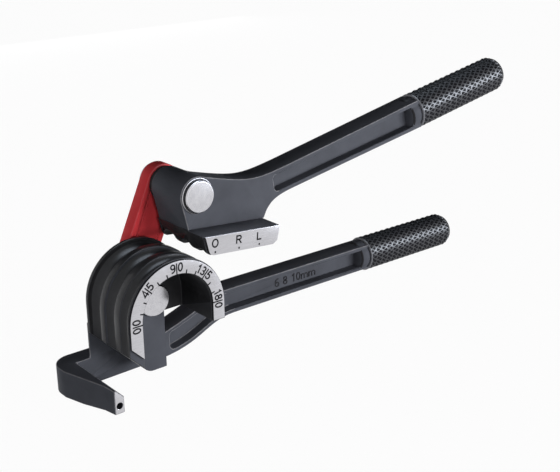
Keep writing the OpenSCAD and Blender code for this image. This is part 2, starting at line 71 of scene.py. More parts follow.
# node helpers for the finishes
def newFinish(name):
    mat = bpy.data.materials.new(name)
    mat.use_nodes = True
    tree = mat.node_tree
    return mat, tree, tree.nodes["Principled BSDF"]


def objectCoords(tree, stretch=(1, 1, 1)):
    coord = tree.nodes.new("ShaderNodeTexCoord")
    place = tree.nodes.new("ShaderNodeMapping")
    place.inputs["Scale"].default_value = stretch
    tree.links.new(coord.outputs["Object"], place.inputs["Vector"])
    return place.outputs["Vector"]


def noise(tree, vector, scale, detail=2.0, rough=0.55):
    n = tree.nodes.new("ShaderNodeTexNoise")
    n.inputs["Scale"].default_value = scale
    n.inputs["Detail"].default_value = detail
    n.inputs["Roughness"].default_value = rough
    tree.links.new(vector, n.inputs["Vector"])
    return n.outputs["Fac"]


def ramp(tree, value, stops):
    r = tree.nodes.new("ShaderNodeValToRGB")
    while len(r.color_ramp.elements) < len(stops):
        r.color_ramp.elements.new(0.5)
    for e, (at, colour) in zip(r.color_ramp.elements, stops):
        e.position, e.color = at, (*colour, 1)
    tree.links.new(value, r.inputs["Fac"])
    return r.outputs["Color"]


def remap(tree, value, low, high, start=0.3, end=0.7):
    m = tree.nodes.new("ShaderNodeMapRange")
    for key, v in (("From Min", start), ("From Max", end), ("To Min", low), ("To Max", high)):
        m.inputs[key].default_value = v
    tree.links.new(value, m.inputs["Value"])
    return m.outputs["Result"]


def maths(tree, operation, first, second):
    m = tree.nodes.new("ShaderNodeMath")
    m.operation = operation
    for socket, value in zip(m.inputs, (first, second)):
        if isinstance(value, float):
            socket.default_value = value
        else:
            tree.links.new(value, socket)
    return m.outputs[0]


def bump(tree, heights, shader, distance):
    normal = None
    for h in heights:
        b = tree.nodes.new("ShaderNodeBump")
        b.inputs["Distance"].default_value = distance
        b.inputs["Strength"].default_value = 1.0
        tree.links.new(h, b.inputs["Height"])
        if normal is not None:
            tree.links.new(normal, b.inputs["Normal"])
        normal = b.outputs["Normal"]
    tree.links.new(normal, shader.inputs["Normal"])


poreShare = 0.31  # the pores are about three times as wide as the grain
stainScale = 60.0  # patches of uneven gloss on metal


# painted finishes: cloudy colour, fine grain of the casting under the paint, uneven gloss
def paintFinish(name, spec):
    mat, tree, shader = newFinish(name)
    at = objectCoords(tree)
    cloud = noise(tree, at, spec["cloud"], detail=4.0)
    grain = noise(tree, at, spec["grain"])
    pores = noise(tree, at, spec["grain"] * poreShare, detail=3.0)
    colour = ramp(tree, cloud, ((0.32, spec["dark"]), (0.68, spec["light"])))
    tree.links.new(colour, shader.inputs["Base Color"])
    tree.links.new(remap(tree, pores, *spec["gloss"]), shader.inputs["Roughness"])
    bump(tree, (grain, pores), shader, spec["depth"])
    shader.inputs["Specular IOR Level"].default_value = spec["specular"]
    return mat


# bare and plated metal: short machining lines along one direction, sparkle of the grit
def metalFinish(name, spec):
    mat, tree, shader = newFinish(name)
    lines = noise(tree, objectCoords(tree, spec["stretch"]), spec["lines"])
    at = objectCoords(tree)
    grit = noise(tree, at, spec["grit"], rough=0.7)
    stain = noise(tree, at, stainScale, detail=3.0)
    mixed = maths(tree, "MULTIPLY", maths(tree, "ADD", lines, grit), 0.5)
    colour = ramp(tree, mixed, ((0.36, spec["dark"]), (0.64, spec["light"])))
    tree.links.new(colour, shader.inputs["Base Color"])
    tree.links.new(remap(tree, stain, *spec["gloss"]), shader.inputs["Roughness"])
    bump(tree, (mixed,), shader, spec["depth"])
    shader.inputs["Metallic"].default_value = 1.0
    return mat


# moulded grip: the mesh attribute tone is 0 in the cells, darker as painted shade in the hollows, 0.8 on the
# ridges, which are painted lighter as light on the crests and shine, and 1 on the start edge, lighter still
# as a painted highlight
def gripFinish(name, spec):
    mat, tree, shader = newFinish(name)
    attribute = tree.nodes.new("ShaderNodeAttribute")
    attribute.attribute_name = "tone"
    tone = attribute.outputs["Fac"]
    at = objectCoords(tree)
    grain = noise(tree, at, spec["grain"])
    pores = noise(tree, at, spec["grain"] * poreShare, detail=3.0)
    stops = ((0.1, spec["cell"]), (0.7, spec["ridge"]), (0.8, spec["ridge"]), (1.0, spec["lip"]))
    tree.links.new(ramp(tree, tone, stops), shader.inputs["Base Color"])
    matt, shiny = spec["specular"]
    shine = ramp(tree, tone, ((0.3, (matt,) * 3), (0.75, (shiny,) * 3)))
    tree.links.new(shine, shader.inputs["Specular IOR Level"])
    tree.links.new(remap(tree, pores, *spec["gloss"]), shader.inputs["Roughness"])
    bump(tree, (grain,), shader, spec["depth"])
    return mat


finishes = {
    "casting": paintFinish("casting_black", {
        "dark": (0.070, 0.074, 0.088), "light": (0.086, 0.091, 0.108), "cloud": 70, "grain": 2600,
        "gloss": (0.40, 0.52), "depth": 2e-5, "specular": 0.03}),
    # painted highlight: a lighter copy of the casting black for its rounded edges
    "castingEdgeHighlight": paintFinish("casting_black_edge_highlight", {
        "dark": (0.16, 0.16, 0.175), "light": (0.24, 0.24, 0.26), "cloud": 260, "grain": 2600,
        "gloss": (0.34, 0.46), "depth": 1e-5, "specular": 0.05}),
    # painted shade: darker than the casting black on the die's grooves and sides; its higher gloss is the
    # die's own
    "dieBlackPaintedShade": paintFinish("die_black_painted_shade", {
        "dark": (0.032, 0.033, 0.036), "light": (0.044, 0.045, 0.050), "cloud": 80, "grain": 2400,
        "gloss": (0.30, 0.36), "depth": 6e-6, "specular": 0.22}),
    "linkRed": paintFinish("link_red", {
        "dark": (0.76, 0.058, 0.068), "light": (0.86, 0.072, 0.084), "cloud": 90, "grain": 1500,
        "gloss": (0.36, 0.46), "depth": 1.5e-5, "specular": 0.06}),
    # painted highlight: a lighter, pinker copy of the link's red for its rounded edges
    "linkRedEdgeHighlight": paintFinish("link_red_edge_highlight", {
        "dark": (0.70, 0.07, 0.08), "light": (0.78, 0.10, 0.11), "cloud": 200, "grain": 1500,
        "gloss": (0.32, 0.42), "depth": 1e-5, "specular": 0.2}),
    # cell is dark as painted shade, ridge lighter as light on the crests, lip a painted highlight on the
    # start edge
    "gripBlack": gripFinish("grip_black", {
        "cell": (0.010, 0.010, 0.012), "ridge": (0.024, 0.025, 0.030), "lip": (0.13, 0.133, 0.15),
        "grain": 2200, "gloss": (0.33, 0.38), "depth": 2e-6, "specular": (0.04, 0.55)}),
    "bareFace": metalFinish("bare_face", {
        "dark": (0.48, 0.475, 0.50), "light": (0.58, 0.575, 0.60), "stretch": (1, 1, 14), "lines": 260,
        "grit": 2400, "gloss": (0.24, 0.32), "depth": 8e-6}),
    "pinSteel": metalFinish("pin_steel", {
        "dark": (0.52, 0.515, 0.54), "light": (0.60, 0.595, 0.62), "stretch": (1, 1, 1), "lines": 420,
        "grit": 2000, "gloss": (0.20, 0.28), "depth": 4e-6}),
    # painted highlight: a lighter copy of the pin steel for the rounded rims of pins, washer and shoe face
    "pinRimHighlight": metalFinish("pin_rim_highlight", {
        "dark": (0.60, 0.59, 0.62), "light": (0.70, 0.69, 0.72), "stretch": (1, 1, 1), "lines": 420,
        "grit": 2000, "gloss": (0.38, 0.46), "depth": 3e-6}),
    "washerSteel": metalFinish("washer_steel", {
        "dark": (0.44, 0.44, 0.46), "light": (0.56, 0.56, 0.58), "stretch": (1, 6, 1), "lines": 500,
        "grit": 1800, "gloss": (0.3, 0.42), "depth": 5e-6}),
    # near-black of the spacers, also used as painted shade on the die's hollow and back web, the shoe's sides
    # and the collars' chamfers
    "spacerBlackAndPaintedShade": paintFinish("spacer_black_and_painted_shade", {
        "dark": (0.020, 0.020, 0.022), "light": (0.028, 0.028, 0.031), "cloud": 300, "grain": 2400,
        "gloss": (0.36, 0.48), "depth": 6e-6, "specular": 0.08}),
    # dark oxide steel of screws, clips and grip pins, also used as painted shade on the pins' sides and the
    # washer's face
    "darkSteelAndPaintedShade": metalFinish("dark_steel", {
        "dark": (0.055, 0.055, 0.06), "light": (0.09, 0.09, 0.095), "stretch": (1, 1, 1), "lines": 600,
        "grit": 2200, "gloss": (0.34, 0.48), "depth": 5e-6}),
    "bushBronze": metalFinish("bush_bronze", {
        "dark": (0.36, 0.22, 0.08), "light": (0.48, 0.31, 0.12), "stretch": (1, 8, 1), "lines": 500,
        "grit": 1600, "gloss": (0.3, 0.42), "depth": 5e-6}),
    "markInk": paintFinish("mark_ink", {
        "dark": (0.008, 0.008, 0.010), "light": (0.014, 0.014, 0.016), "cloud": 600, "grain": 3000,
        "gloss": (0.5, 0.6), "depth": 5e-6, "specular": 0.1}),
    # painted shade: a darker copy of the casting black for the raised size marks
    "markCastPaintedShade": paintFinish("mark_cast_painted_shade", {
        "dark": (0.026, 0.026, 0.030), "light": (0.034, 0.034, 0.039), "cloud": 200, "grain": 2600,
        "gloss": (0.42, 0.54), "depth": 1e-5, "specular": 0.06}),
}
print("finishes:", len(finishes))


def setFinish(obj, *names):
    obj.data.materials.clear()
    for n in names:
        obj.data.materials.append(finishes[n])


shoeUp = np.array((math.sin(shoeTilt), 0.0, math.cos(shoeTilt)))
shoePoints = np.empty(len(nodes["bending_shoe"].data.vertices) * 3, np.float32)
nodes["bending_shoe"].data.vertices.foreach_get("co", shoePoints)
seamHeight = float((shoePoints.reshape(-1, 3) @ shoeUp).max())  # the shoe's flat top, under the handle's foot


# an edge of an arm's pocket: the pocket's wall looks back towards the pocket's middle
def pocketEdge(e, at, spec):
    c, s = math.cos(spec["rise"]), math.sin(spec["rise"])
    x, z = at[0] - spec["middle"][0] * mm, at[2] - spec["middle"][1] * mm
    along, across = c * x + s * z, c * z - s * x
    if along > spec["collar"] * mm:
        return True
    if abs(along) > spec["reach"] * mm or abs(across) > spec["high"] * mm:
        return False
    walls = [f.normal for f in e.link_faces if abs(f.normal.y) < 0.5]
    return any(along * (c * n.x + s * n.z) + across * (c * n.z - s * n.x) < 0 for n in walls)


def inBox(points, box):
    low, high = np.array(box) * mm
    return np.all((points > low) & (points < high))


edgeSpec = {
    "weld": 2e-6, "flat": math.radians(0.5), "sharp": math.radians(30), "seam": 2e-5, "steps": 3,
    "pocketRound": 0.15, "pocketSteps": 2, "pocketSharp": math.radians(50),
}


# a solid's own mesh, joined up, with every sharp edge rounded over, apart from those in the box called plain;
# where the handle's foot stands on the shoe the two meet square
def softened(node, body, spec):
    bm = bmesh.new()
    bm.from_mesh(nodes[node].data)
    bmesh.ops.remove_doubles(bm, verts=bm.verts, dist=edgeSpec["weld"])
    bmesh.ops.dissolve_limit(bm, angle_limit=edgeSpec["flat"], verts=bm.verts, edges=bm.edges)
    if "split" in spec:
        cut = bm.verts[:] + bm.edges[:] + bm.faces[:]
        bmesh.ops.bisect_plane(bm, geom=cut, plane_co=(0, spec["split"] * mm, 0), plane_no=(0, 1, 0))
    bmesh.ops.triangulate(bm, faces=bm.faces)
    weight = bm.edges.layers.float.new("bevel_weight_edge")
    for e in bm.edges:
        ends = np.array([v.co for v in e.verts])
        middle = ends.mean(0)
        onSeam = np.abs(ends @ shoeUp - seamHeight).max() < edgeSpec["seam"]
        square = onSeam and "split" in spec and middle[1] > spec["split"] * mm
        inner = "pocket" in spec and pocketEdge(e, middle, spec["pocket"])
        plain = "plain" in spec and inBox(ends, spec["plain"])
        if plain:
            e.smooth = False
        sharp = e.calc_face_angle(0) > edgeSpec["sharp"]
        e[weight] = 1.0 if sharp and not (square or inner or plain) else 0.0
    mesh = bpy.data.meshes.new(node + "_body")
    bm.to_mesh(mesh)
    bm.free()
    piece = bpy.data.objects.new(node + "_body", mesh)
    scene.collection.objects.link(piece)
    setFinish(piece, *spec["finish"])
    mesh.polygons.foreach_set("material_index", np.zeros(len(mesh.polygons), np.int32))
    mesh.polygons.foreach_set("use_smooth", np.ones(len(mesh.polygons), bool))
    edge = piece.modifiers.new("rounded edges", "BEVEL")
    edge.width, edge.segments = spec["round"] * mm, edgeSpec["steps"]
    edge.limit_method = "WEIGHT"
    edge.use_clamp_overlap = False
    edge.harden_normals = True
    edge.miter_outer = "MITER_ARC"
    # the rounded edges take the piece's second finish, which on many pieces is a lighter copy that paints a
    # highlight along them
    edge.material = 1
    if "pocket" in spec:
        inside = piece.modifiers.new("rounded pockets", "BEVEL")
        inside.width, inside.segments = edgeSpec["pocketRound"] * mm, edgeSpec["pocketSteps"]
        inside.limit_method, inside.angle_limit = "ANGLE", edgeSpec["pocketSharp"]
        inside.use_clamp_overlap = False
        inside.harden_normals = True
    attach(piece, body)
    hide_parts(node)
    return piece


# body, then rounding in mm and finishes: faces, rounded edges, faces that are picked out further down
softSpecs = {
    "lower_handle": ("base", {
        "round": 0.35, "plain": ((-31.8, -99, 3.5), (-28.2, -20, 7.0)),  # the hole in the hook's end
        "pocket": {"middle": (104, 17.9), "rise": 0.0, "reach": 50, "high": 8, "collar": 33.2},
        "finish": ("casting", "castingEdgeHighlight", "bareFace", "spacerBlackAndPaintedShade"), "slot": "black_casting"}),
    "forming_die": ("base", {
        "round": 0.25, "plain": ((-7.4, -21.5, 4.9), (7.4, -19.5, 46.2)),  # the post's front
        "finish": ("dieBlackPaintedShade", "dieBlackPaintedShade", "spacerBlackAndPaintedShade", "casting"), "slot": "black_casting"}),
    "dial_face": ("base", {"round": 0.16, "finish": ("bareFace", "markInk"), "slot": "bare_metal"}),
    "upper_handle": ("shoe_handle", {
        "round": 0.35, "split": -28.2,  # the foot's front, where the ledge begins
        "pocket": {"middle": (113, 89.5), "rise": armRise, "reach": 50, "high": 8, "collar": 36.7},
        "finish": ("casting", "castingEdgeHighlight", "spacerBlackAndPaintedShade"), "slot": "black_casting"}),
    "bending_shoe": ("shoe_handle", {
        "round": 0.2, "split": -28.2,
        "finish": ("casting", "casting", "spacerBlackAndPaintedShade"), "slot": "black_casting"}),
    "shoe_face": ("shoe_handle", {"round": 0.12, "finish": ("bareFace", "pinRimHighlight"), "slot": "bare_metal"}),
    "link": ("link", {"round": 0.4, "finish": ("linkRed", "linkRedEdgeHighlight"), "slot": "red_paint"}),
    "die_pin": ("base", {"round": 0.12, "finish": ("pinSteel", "pinRimHighlight", "darkSteelAndPaintedShade"), "slot": "pin_steel"}),
    "shoe_pin": ("shoe_handle", {
        "round": 0.12, "finish": ("pinSteel", "pinRimHighlight", "darkSteelAndPaintedShade"), "slot": "pin_steel"}),
    # painted shade on the washer's face, painted highlight on its rim
    "shoe_pin_washer": ("shoe_handle", {
        "round": 0.2, "finish": ("darkSteelAndPaintedShade", "pinRimHighlight"), "slot": "pin_steel"}),
}
softPieces = {node: softened(node, body, spec) for node, (body, spec) in softSpecs.items()}
print("rounded pieces:", len(softPieces))

# solids that stay as they are
plainFinish = {
    "washerSteel": ("die_back_washer", "shoe_back_washer"),
    "spacerBlackAndPaintedShade": ("die_spacer", "shoe_spacer"),
    "pinSteel": ("die_dowels",),
    "darkSteelAndPaintedShade": ("die_screws", "shoe_screws", "die_clip", "shoe_clip", "lower_grip_pin", "upper_grip_pin"),
    "bushBronze": ("link_die_bush", "link_shoe_bush"),
}
for finish, names in plainFinish.items():
    for n in names:
        setFinish(nodes[n], finish)
print("plain solids:", sum(len(names) for names in plainFinish.values()))


# turns a grid of points (rows along, columns around) into a closed skin with a point at each end
def skin(name, points, tone):
    rows, cols = points.shape[:2]
    index = np.arange(rows * cols).reshape(rows, cols)
    a, b = index[:-1], index[1:]
    quads = np.stack((a, np.roll(a, -1, 1), np.roll(b, -1, 1), b), -1).reshape(-1, 4)
    mesh = bpy.data.meshes.new(name)
    mesh.from_pydata(points.reshape(-1, 3), [], quads)
    values = mesh.attributes.new("tone", "FLOAT", "POINT").data
    values.foreach_set("value", tone.reshape(-1).astype(np.float32))
    bm = bmesh.new()
    bm.from_mesh(mesh)
    bmesh.ops.remove_doubles(bm, verts=bm.verts, dist=1e-7)
    bmesh.ops.recalc_face_normals(bm, faces=bm.faces)
    bm.to_mesh(mesh)
    bm.free()
    mesh.polygons.foreach_set("use_smooth", np.ones(len(mesh.polygons), bool))
    piece = bpy.data.objects.new(name, mesh)
    scene.collection.objects.link(piece)
    return piece


# values of a mesh's points or faces as rows of x, y, z
def triples(group, key):
    values = np.empty(len(group) * 3, np.float32)
    group.foreach_get(key, values)
    return values.reshape(-1, 3).astype(float)


gripSpec = {  # lengths in mm, along the grip from its seat on the collar
    "radius": 8.97, "length": 61.0, "bore": 5.54, "boreLength": 53.3,
    "lip": 1.6, "lipRadius": 7.72,  # overhang past the collar
    "nose": ((0.0, 0.75), (0.25, 0.3), (0.6, 0.0)), "edge": 0.3,  # start edge: along, and below the barrel
    "dome": 4.0, "domeSteps": 14, "tip": 2.2,  # rounded end
    "around": 23, "pitch": 3.96, "phase": 3.72, "row": -67.0,  # diamonds
    "ridge": 0.95, "flute": 0.85, "flat": 0.08, "foot": 0.24,
    "smooth": 0.7, "runIn": 0.6, "runOut": 1.4, "last": 1.6,  # where the knurl starts and ends
    # tones of the painted shading: ridges lighter than the cells, and a painted highlight on the start edge
    "ridgeTone": 0.8, "plainTone": 0.6, "lipHighlightTone": 1.0,
    "pinAt": 18.0, "pinHole": 1.75, "pinFloor": 7.8, "roundFrom": 7.4,
    "columns": 322, "rows": 280,
}


# normals of a plain cylinder on a grip's barrel, the mesh's own elsewhere
def roundNormals(mesh, start, axis, spec):
    place, normal = triples(mesh.vertices, "co") - start, triples(mesh.vertex_normals, "vector")
    along = place @ axis
    out = place - along[:, None] * axis
    far = np.linalg.norm(out, axis=1)
    barrel = (along > (spec["smooth"] - spec["lip"]) * mm) & (along < (spec["length"] - spec["dome"]) * mm)
    barrel &= far > spec["roundFrom"] * mm
    normal[barrel] = out[barrel] / far[barrel][:, None]
    mesh.normals_split_custom_set_from_vertices(normal)


# grip's line of revolution, as rows of length and radius: bore, start face, barrel, rounded end
def gripLine(spec):
    r, length, dome, lip = spec["radius"], spec["length"], spec["dome"], spec["lip"]
    bore = np.array(((spec["boreLength"], 0.0), (spec["boreLength"], spec["bore"]), (0.0, spec["bore"])))
    face = np.array(((0.0, spec["lipRadius"]), (-lip, spec["lipRadius"])))
    nose = np.array([(-lip + along, r - below) for along, below in spec["nose"]])
    first = spec["edge"] - lip + spec["nose"][-1][0]
    barrel = np.stack((np.linspace(first, length - dome, spec["rows"]), np.full(spec["rows"], r)), 1)
    turn = np.linspace(0, 1, spec["domeSteps"])[1:] * math.pi / 2
    end = np.stack((length - dome + dome * np.sin(turn), r - dome + dome * np.cos(turn)), 1)
    tip = np.array(((length, spec["tip"]), (length, 0.0)))
    return np.concatenate((bore, face, nose, barrel, end, tip))


# grip: its line of revolution swept round the arm's axis;
# the barrel's radius falls by the ridge height except on two crossing families of flat-topped helices,
# and by the flute depth between each second row of crossings, as cos(around * angle);
# the crests are flat, so the barrel keeps the normals of a plain cylinder, and the tone paints the lattice's
# shade
def knurledGrip(name, node, body, start, rise, spec):
    r, lip = spec["radius"], spec["lip"]
    line = gripLine(spec)
    x, base = line[:, 0][:, None], line[:, 1][:, None]
    angle = np.linspace(0, 2 * math.pi, spec["columns"], endpoint=False)[None, :]
    turnPhase = spec["around"] * (angle - math.radians(spec["row"])) / (2 * math.pi)
    valley = 1.0
    for hand in (1, -1):
        phase = turnPhase + hand * (x - spec["phase"]) / spec["pitch"] + 0.5
        off = (np.abs(phase - np.round(phase)) - spec["flat"]) / (spec["foot"] - spec["flat"])
        off = np.clip(off, 0, 1)
        valley = valley * off * off * (3 - 2 * off)
    onBarrel = (base > r - spec["last"]) & (x > spec["smooth"] - lip)
    fade = np.clip((x + lip - spec["smooth"]) / spec["runIn"], 0, 1)
    fade = fade * np.clip((base - (r - spec["runOut"])) / spec["runOut"], 0, 1)
    flute = spec["flute"] * (0.5 - 0.5 * np.cos(2 * math.pi * turnPhase))
    radius = base - np.where(onBarrel, fade * np.maximum(spec["ridge"] * valley, flute), 0.0)
    # painted shade: the tone falls to 0 in the cells, since the barrel's normals show no lattice
    tone = np.where(onBarrel, spec["ridgeTone"] * (1 - valley * fade), spec["plainTone"])
    startEdgeHighlight = (x < spec["smooth"] - lip) & (base >= spec["lipRadius"])  # start edge, lighter as a painted highlight
    tone = np.where(startEdgeHighlight, spec["lipHighlightTone"], tone)
    side, up = np.sin(angle), np.cos(angle)
    hole = (np.hypot(x - spec["pinAt"], radius * up) < spec["pinHole"]) & (side > 0) & onBarrel
    radius = np.where(hole, spec["pinFloor"], radius)  # seat of the spring pin, at the back
    y, z = radius * side, radius * up
    c, s = math.cos(rise), math.sin(rise)
    points = start + mm * np.stack((x * c - z * s, y, x * s + z * c), -1)
    piece = skin(name, points, tone)
    roundNormals(piece.data, start, np.array((c, 0.0, s)), spec)
    setFinish(piece, "gripBlack")
    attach(piece, body)
    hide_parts(node)
    return piece


gripPlaces = {  # body, middle of the seat in mm, slope
    "lower_grip": ("base", (144.5, 0.85, 17.9), 0.0),
    "upper_grip": ("shoe_handle", (156.209, -21.85, 97.635), armRise),
}
for node, (body, seat, rise) in gripPlaces.items():
    knurledGrip(node + "_knurl", node, body, np.array(seat) * mm, rise, gripSpec)
print("grips done")


# points on an ellipse from angle a to angle b, in degrees
def arc(cx, cy, rx, ry, a, b, n=14):
    t = np.radians(np.linspace(a, b, n))
    return np.stack((cx + rx * np.cos(t), cy + ry * np.sin(t)), 1)


def joined(*parts):
    return np.concatenate(parts)


# strokes of the plain signs in a box one unit high: width, then paths;
# a path that ends where it starts is a loop
glyphs = {
    "0": (0.60, (arc(0.30, 0.5, 0.24, 0.44, 0, 360, 25),)),
    "1": (0.36, (np.array(((0.02, 0.72), (0.24, 0.94), (0.24, 0.0))),)),
    "3": (0.60, (joined(arc(0.29, 0.715, 0.21, 0.225, 155, -90),
                        arc(0.29, 0.275, 0.24, 0.215, 90, -155)[1:]),)),
    "4": (0.66, (np.array(((0.48, 0.0), (0.48, 0.94), (0.05, 0.26), (0.66, 0.26))),)),
    "5": (0.60, (joined(((0.54, 0.94), (0.15, 0.94), (0.10, 0.52)),
                        arc(0.29, 0.315, 0.25, 0.255, 128, -155)),)),
    "6": (0.60, (joined(arc(0.44, 0.56, 0.38, 0.38, 78, 168, 10),
                        arc(0.30, 0.31, 0.24, 0.25, 168, 510, 22)),)),
    "8": (0.60, (arc(0.30, 0.725, 0.20, 0.215, -90, 270, 21), arc(0.30, 0.285, 0.24, 0.225, 90, 450, 21))),
    "m": (1.06, (np.array(((0.06, 0.0), (0.06, 0.64))),
                 joined(arc(0.275, 0.40, 0.215, 0.20, 180, 0), ((0.49, 0.0),)),
                 joined(arc(0.745, 0.40, 0.215, 0.20, 155, 0), ((0.96, 0.0),)))),
    "O": (0.86, (arc(0.43, 0.5, 0.36, 0.43, 0, 360, 29),)),
    "R": (0.84, (joined(((0.08, 0.0), (0.08, 0.93), (0.42, 0.93)), arc(0.46, 0.71, 0.24, 0.22, 90, -90),
                        ((0.10, 0.49),)),
                 np.array(((0.40, 0.49), (0.76, 0.0))))),
    "L": (0.74, (np.array(((0.08, 1.0), (0.08, 0.07), (0.72, 0.07))),)),
}
glyphs["9"] = (0.60, tuple(np.array((0.60, 1.0)) - g for g in glyphs["6"][1]))
mitreLimit = 2.0


# one sign as a flat solid: a rectangle, as wide as the pen and as high as the sign is thick, is carried
# along each path; at a corner it is as wide as the mitre;
# x runs to the right from the sign's middle, y up, z to the reader, in mm
def sign(text, height, pen, thick):
    width, paths = glyphs[text]
    verts, faces, count = [], [], 0
    for path in paths:
        p = (path - np.array((width / 2, 0.0))) * height
        loop = np.allclose(p[0], p[-1])
        if loop:
            p = p[:-1]
        step = np.roll(p, -1, 0) - p if loop else np.diff(p, axis=0)
        step = step / np.linalg.norm(step, axis=1, keepdims=True)
        before = np.roll(step, 1, 0) if loop else np.concatenate((step[:1], step))
        after = step if loop else np.concatenate((step, step[-1:]))
        side = before + after
        side = side / np.linalg.norm(side, axis=1, keepdims=True)
        mitre = np.minimum(1 / np.abs((side * after).sum(1)), mitreLimit)[:, None]
        out = np.stack((-side[:, 1], side[:, 0]), 1) * mitre * pen / 2
        flat = np.stack((p + out, p - out, p - out, p + out), 1)
        up = np.broadcast_to(np.array((0.0, 0.0, thick, thick))[None, :, None], (len(p), 4, 1))
        verts.append(np.concatenate((flat, up), 2).reshape(-1, 3))
        ring = count + np.arange(len(p) * 4).reshape(-1, 4)
        a, b = (ring, np.roll(ring, -1, 0)) if loop else (ring[:-1], ring[1:])
        faces += np.stack((a, b, np.roll(b, -1, 1), np.roll(a, -1, 1)), -1).reshape(-1, 4).tolist()
        if not loop:
            faces += [ring[0].tolist(), ring[-1][::-1].tolist()]
        count += len(p) * 4
    return np.concatenate(verts), faces


# a stroke of a scale: the box between two corners of its outline, as thick as the signs
def bar(x0, x1, y0, y1, thick):
    corner = [(x, y, z) for z in (0, thick) for x, y in ((x0, y0), (x1, y0), (x1, y1), (x0, y1))]
    faces = [(3, 2, 1, 0), (4, 5, 6, 7), (0, 1, 5, 4), (1, 2, 6, 5), (2, 3, 7, 6), (3, 0, 4, 7)]
    return np.array(corner), faces


# sets of signs on one piece: each sign has its own place, right direction and up direction
def signPiece(name, signs, body, finish):
    verts, faces, count = [], [], 0
    for (points, polys), place, right, up in signs:
        axes = np.array((right, up, np.cross(right, up)), float)
        verts.append(np.asarray(place) + mm * (points @ axes))
        faces += [tuple(i + count for i in p) for p in polys]
        count += len(points)
    mesh = bpy.data.meshes.new(name)
    mesh.from_pydata(np.concatenate(verts), [], faces)
    bm = bmesh.new()
    bm.from_mesh(mesh)
    bmesh.ops.recalc_face_normals(bm, faces=bm.faces)
    bm.to_mesh(mesh)
    bm.free()
    piece = bpy.data.objects.new(name, mesh)
    scene.collection.objects.link(piece)
    setFinish(piece, finish)
    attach(piece, body)
    return piece


dialMarks = {  # radii and sizes in mm, angles in degrees; a label stands left and right of its long line
    "inner": 17.65, "short": 19.3, "long": {0: 22.5, 45: 22.4, 90: 22.6, 135: 22.6, 180: 22.7},
    "line": 0.6, "step": 15, "digit": 3.9, "pen": 0.7, "base": 18.7, "thick": 0.03, "gap": 1.85, "next": 2.5,
    "labels": {0: ("0", "0"), 45: ("4", "5"), 90: ("9", "0"), 135: ("13", "5"), 180: ("18", "0")},
}


# the dial: angle a runs from the left over the top, so a point is (-r cos a, r sin a)
def dialSpot(a, r):
    place = dialCentre + mm * np.array((-r * math.cos(a), 0.0, r * math.sin(a)))
    return place, (math.sin(a), 0, math.cos(a)), (-math.cos(a), 0, math.sin(a))


def dialSigns(spec):
    made = []
    half = spec["line"] / 2
    for deg in range(0, 181, spec["step"]):
        top = spec["long"].get(deg, spec["short"])
        made.append((bar(-half, half, spec["inner"], top, spec["thick"]), *dialSpot(math.radians(deg), 0.0)))
    middle = spec["base"] + spec["digit"] / 2
    for deg, (before, after) in spec["labels"].items():
        offsets = [(ch, -spec["gap"] - spec["next"] * i) for i, ch in enumerate(reversed(before))]
        offsets += [(ch, spec["gap"] + spec["next"] * i) for i, ch in enumerate(after)]
        for ch, off in offsets:
            spot = dialSpot(math.radians(deg) + off / middle, spec["base"])
            made.append((sign(ch, spec["digit"], spec["pen"], spec["thick"]), *spot))
    return made


signPiece("dial_marks", dialSigns(dialMarks), "base", "markInk")

shoeMarks = {  # letter, place along the sole, height
    "letters": (("O", 1.2, 3.95), ("R", 13.8, 3.7), ("L", 24.8, 3.5)), "pen": 0.7, "base": -19.75,
    "dotAt": -21.75, "dotShift": 0.2, "dotWide": 0.36, "dotHigh": 0.45, "thick": 0.03,
}


# the shoe's working marks: a letter over a short stroke at the sole, in the shoe's own tilted axes
def shoeSigns(spec):
    c, s = math.cos(shoeTilt), math.sin(shoeTilt)
    right, up = np.array((c, 0, -s)), np.array((s, 0, c))
    wide, high = spec["dotWide"], spec["dotHigh"]
    made = []
    for ch, x, tall in spec["letters"]:
        place = shoePin + mm * (x * right + spec["base"] * up)
        made.append((sign(ch, tall, spec["pen"], spec["thick"]), place, right, up))
        place = shoePin + mm * ((x + spec["dotShift"]) * right + spec["dotAt"] * up)
        made.append((bar(-wide, wide, -high, high, spec["thick"]), place, right, up))
    return made


signPiece("shoe_marks", shoeSigns(shoeMarks), "shoe_handle", "markInk")

sizeMarks = {  # sign, place along the arm
    "signs": (("6", 85.4), ("8", 90.7), ("1", 96.1), ("0", 99.3), ("m", 103.5), ("m", 108.5)),
    "high": 4.4, "pen": 0.62, "thick": 0.25, "plane": 0.4, "base": 14.8,
}


# tube sizes raised on the lower arm's web
def sizeSigns(spec):
    made = []
    for ch, x in spec["signs"]:
        place = mm * np.array((x, spec["plane"], spec["base"]))
        made.append((sign(ch, spec["high"], spec["pen"], spec["thick"]), place, (1, 0, 0), (0, 0, 1)))
    return made


signPiece("size_marks", sizeSigns(sizeMarks), "base", "markCastPaintedShade")
print("marks done")


# middles and normals of a rounded piece's faces
def faceData(node):
    faces = softPieces[node].data.polygons
    return triples(faces, "center"), triples(faces, "normal")


def setFaces(node, chosen, slot):
    faces = softPieces[node].data.polygons
    old = np.empty(len(faces), np.int32)
    faces.foreach_get("material_index", old)
    faces.foreach_set("material_index", np.where(chosen, slot, old).astype(np.int32))
    print(node, "faces with another finish:", int(chosen.sum()))


